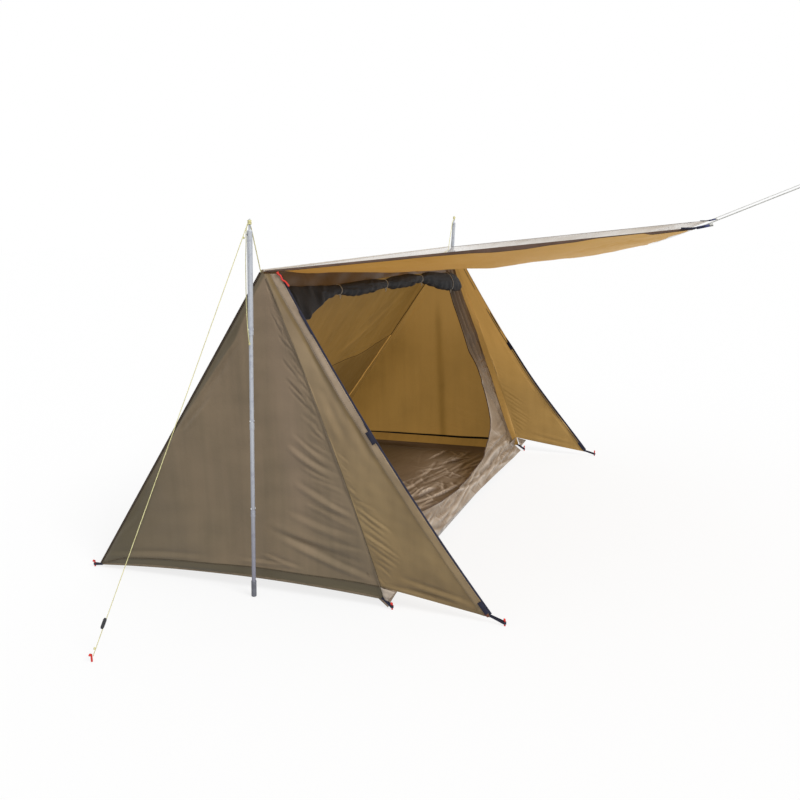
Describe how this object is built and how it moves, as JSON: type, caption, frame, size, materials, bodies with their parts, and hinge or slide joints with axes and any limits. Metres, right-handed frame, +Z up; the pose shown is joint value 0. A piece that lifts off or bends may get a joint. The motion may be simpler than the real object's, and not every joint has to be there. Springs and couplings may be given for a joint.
{
  "type": "backpacking tent",
  "caption": "Ridge tent on two outside trekking poles, with sloping rear panel, end walls with wings, an inner doorway and its door panel raised as an awning.",
  "frame": {"origin": "point of the ground below the middle of the ridge, on the groundsheet's underside", "axes": "+X along the ridge, -Y out of the open front, +Z up"},
  "size_m": [3.8264, 2.9995, 1.6553],
  "materials": {
    "outer_cloth": "coated plain weave, grey-brown outside",
    "wing_cloth": "single coated cloth, light shows through it golden brown",
    "awning_cloth": "coated cloth, golden below where light comes through, brown above",
    "door_cloth": "thin grey-brown cloth, slack and creased",
    "floor_cloth": "heavier coated cloth, slightly shiny",
    "mesh": "fine black insect mesh, rolled",
    "webbing": "dark navy woven tape",
    "cord": "pale yellow braided cord",
    "pole_metal": "satin anodised",
    "peg_metal": "red anodised",
    "rubber": "matte"
  },
  "bodies": {
    "root": {"awning": "awning_cloth", "awning_line_left": "cord", "awning_line_right": "cord", "door_band": "door_cloth", "door_side_left": "door_cloth", "door_side_right": "door_cloth", "door_sill": "door_cloth", "groundsheet": "floor_cloth", "groundsheet_edge_front": "floor_cloth", "groundsheet_edge_left": "floor_cloth", "groundsheet_edge_rear": "floor_cloth", "groundsheet_edge_right": "floor_cloth", "left_end_wall": "outer_cloth", "left_front_loop": "webbing", "left_front_peg": "peg_metal", "left_guy_line": "cord", "left_guy_peg": "peg_metal", "left_peak_cord": "cord", "left_pole_foot": "rubber", "left_pole_lower": "pole_metal", "left_pole_upper": "pole_metal", "left_rear_loop": "webbing", "left_rear_peg": "peg_metal", "left_tail_cord": "cord", "left_wing": "wing_cloth", "left_wing_binding": "webbing", "left_wing_loop": "webbing", "left_wing_peg": "peg_metal", "mesh_door_roll": "mesh", "rear_panel": "outer_cloth", "ridge_cord": "outer_cloth", "right_end_wall": "outer_cloth", "right_front_loop": "webbing", "right_front_peg": "peg_metal", "right_guy_line": "cord", "right_guy_peg": "peg_metal", "right_peak_cord": "cord", "right_pole_foot": "rubber", "right_pole_lower": "pole_metal", "right_pole_upper": "pole_metal", "right_rear_loop": "webbing", "right_rear_peg": "peg_metal", "right_wing": "wing_cloth", "right_wing_binding": "webbing", "right_wing_loop": "webbing", "right_wing_peg": "peg_metal", "roll_tie_1": "webbing", "roll_tie_2": "webbing", "roll_tie_3": "webbing", "roll_tie_4": "webbing"}
  },
  "joints": []
}
